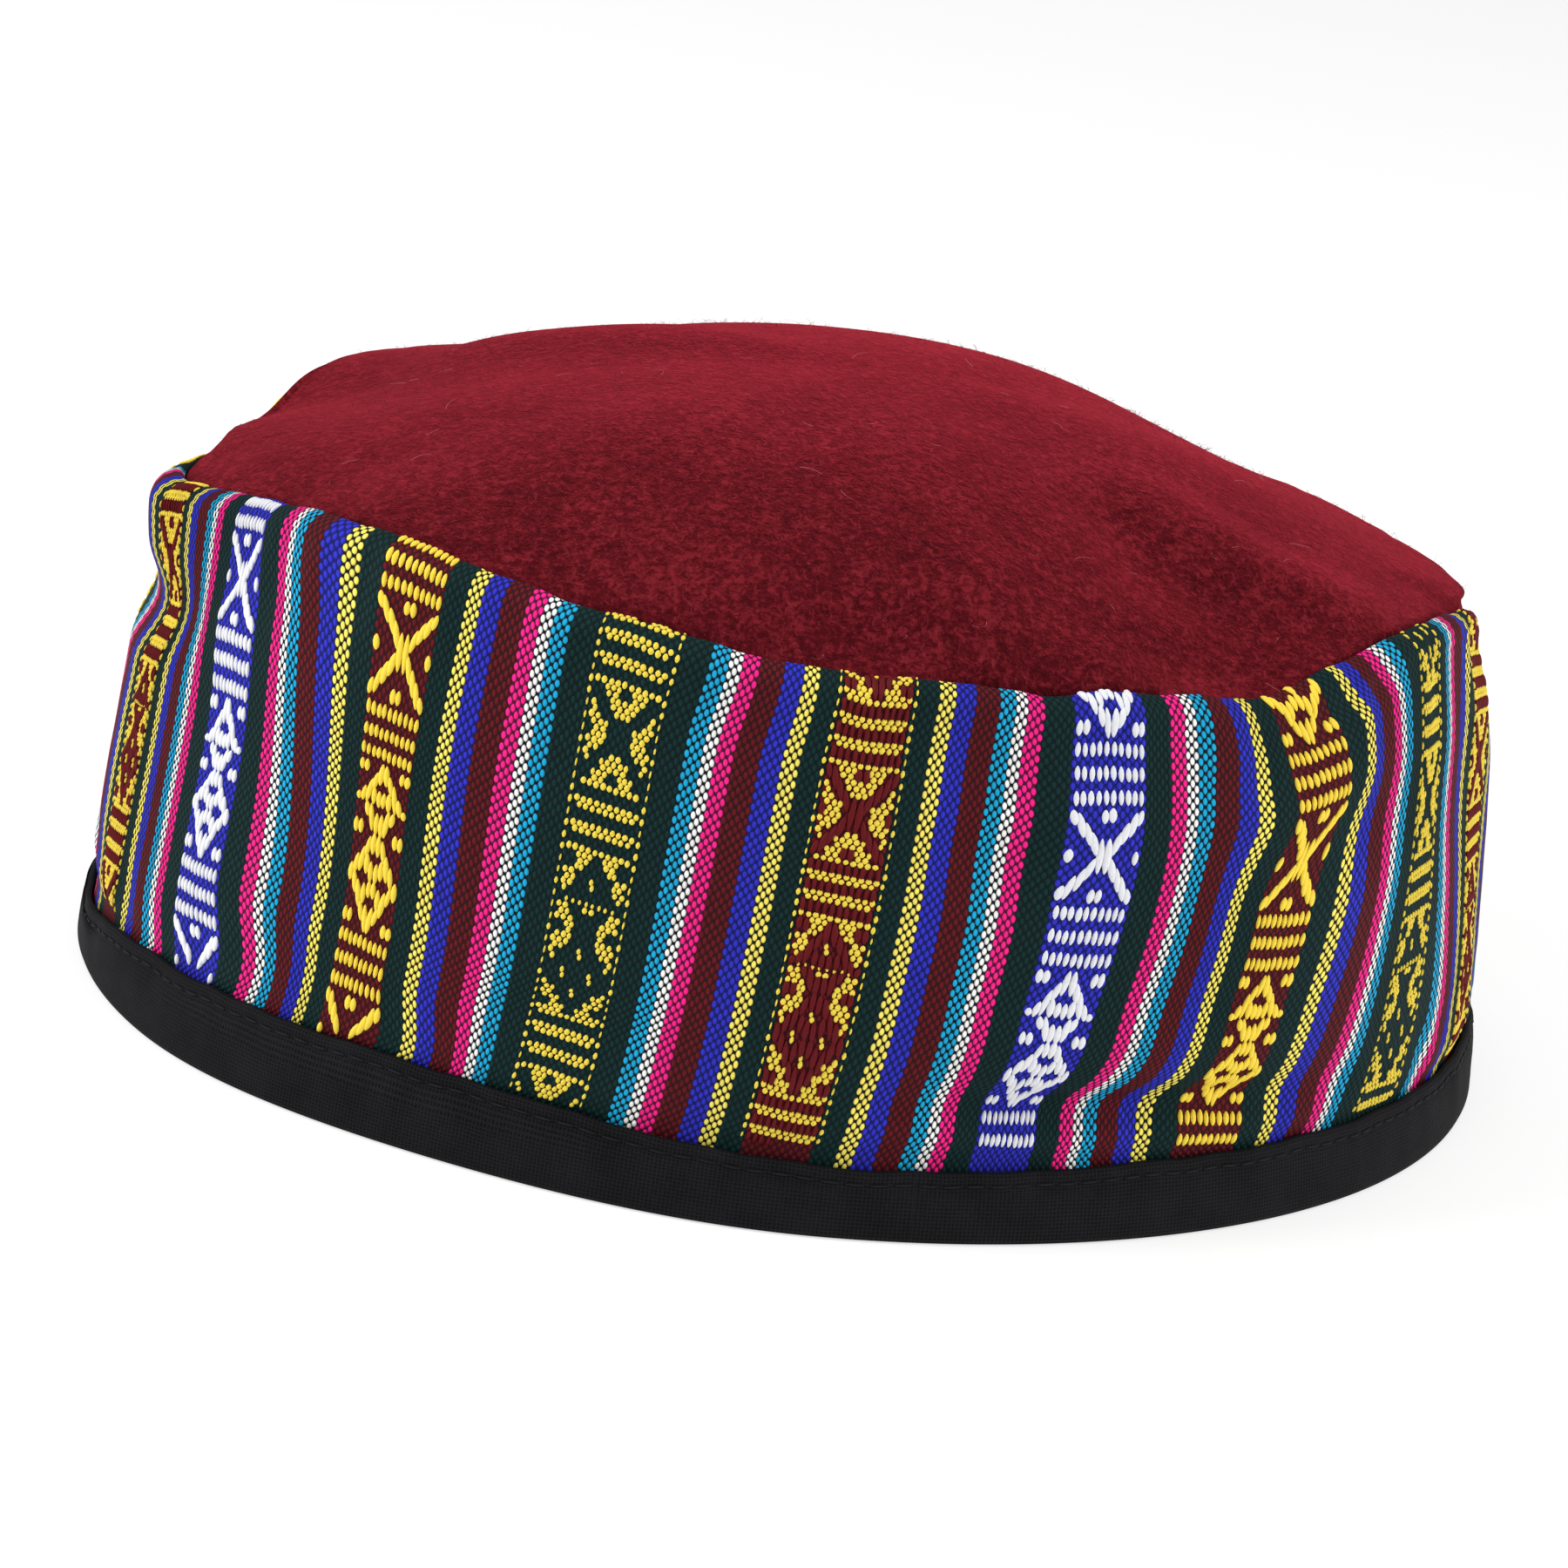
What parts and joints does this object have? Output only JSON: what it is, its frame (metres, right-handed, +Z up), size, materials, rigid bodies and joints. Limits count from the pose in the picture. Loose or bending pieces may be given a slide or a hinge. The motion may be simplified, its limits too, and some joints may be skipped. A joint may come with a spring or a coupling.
{
  "type": "smoking cap",
  "caption": "Soft brimless cap with a domed felt crown, a padded side band of woven stripes and figures, and a folded tape round its open rim.",
  "frame": {"origin": "middle of the rim's footprint, on the surface that the cap rests on", "axes": "+Z up out of the crown, Y along the long axis of the head opening with the front at -Y, X across it"},
  "size_m": [0.1722, 0.2062, 0.0938],
  "materials": {
    "felt": "matt burgundy wool felt, slightly fuzzy",
    "striped_cloth": "warp-faced cotton cloth with coloured stripes and woven figures",
    "cotton_tape": "fine black cotton tape, matt"
  },
  "bodies": {
    "root": {"crown": "felt", "side_band": "striped_cloth", "rim_binding": "cotton_tape"}
  },
  "joints": []
}
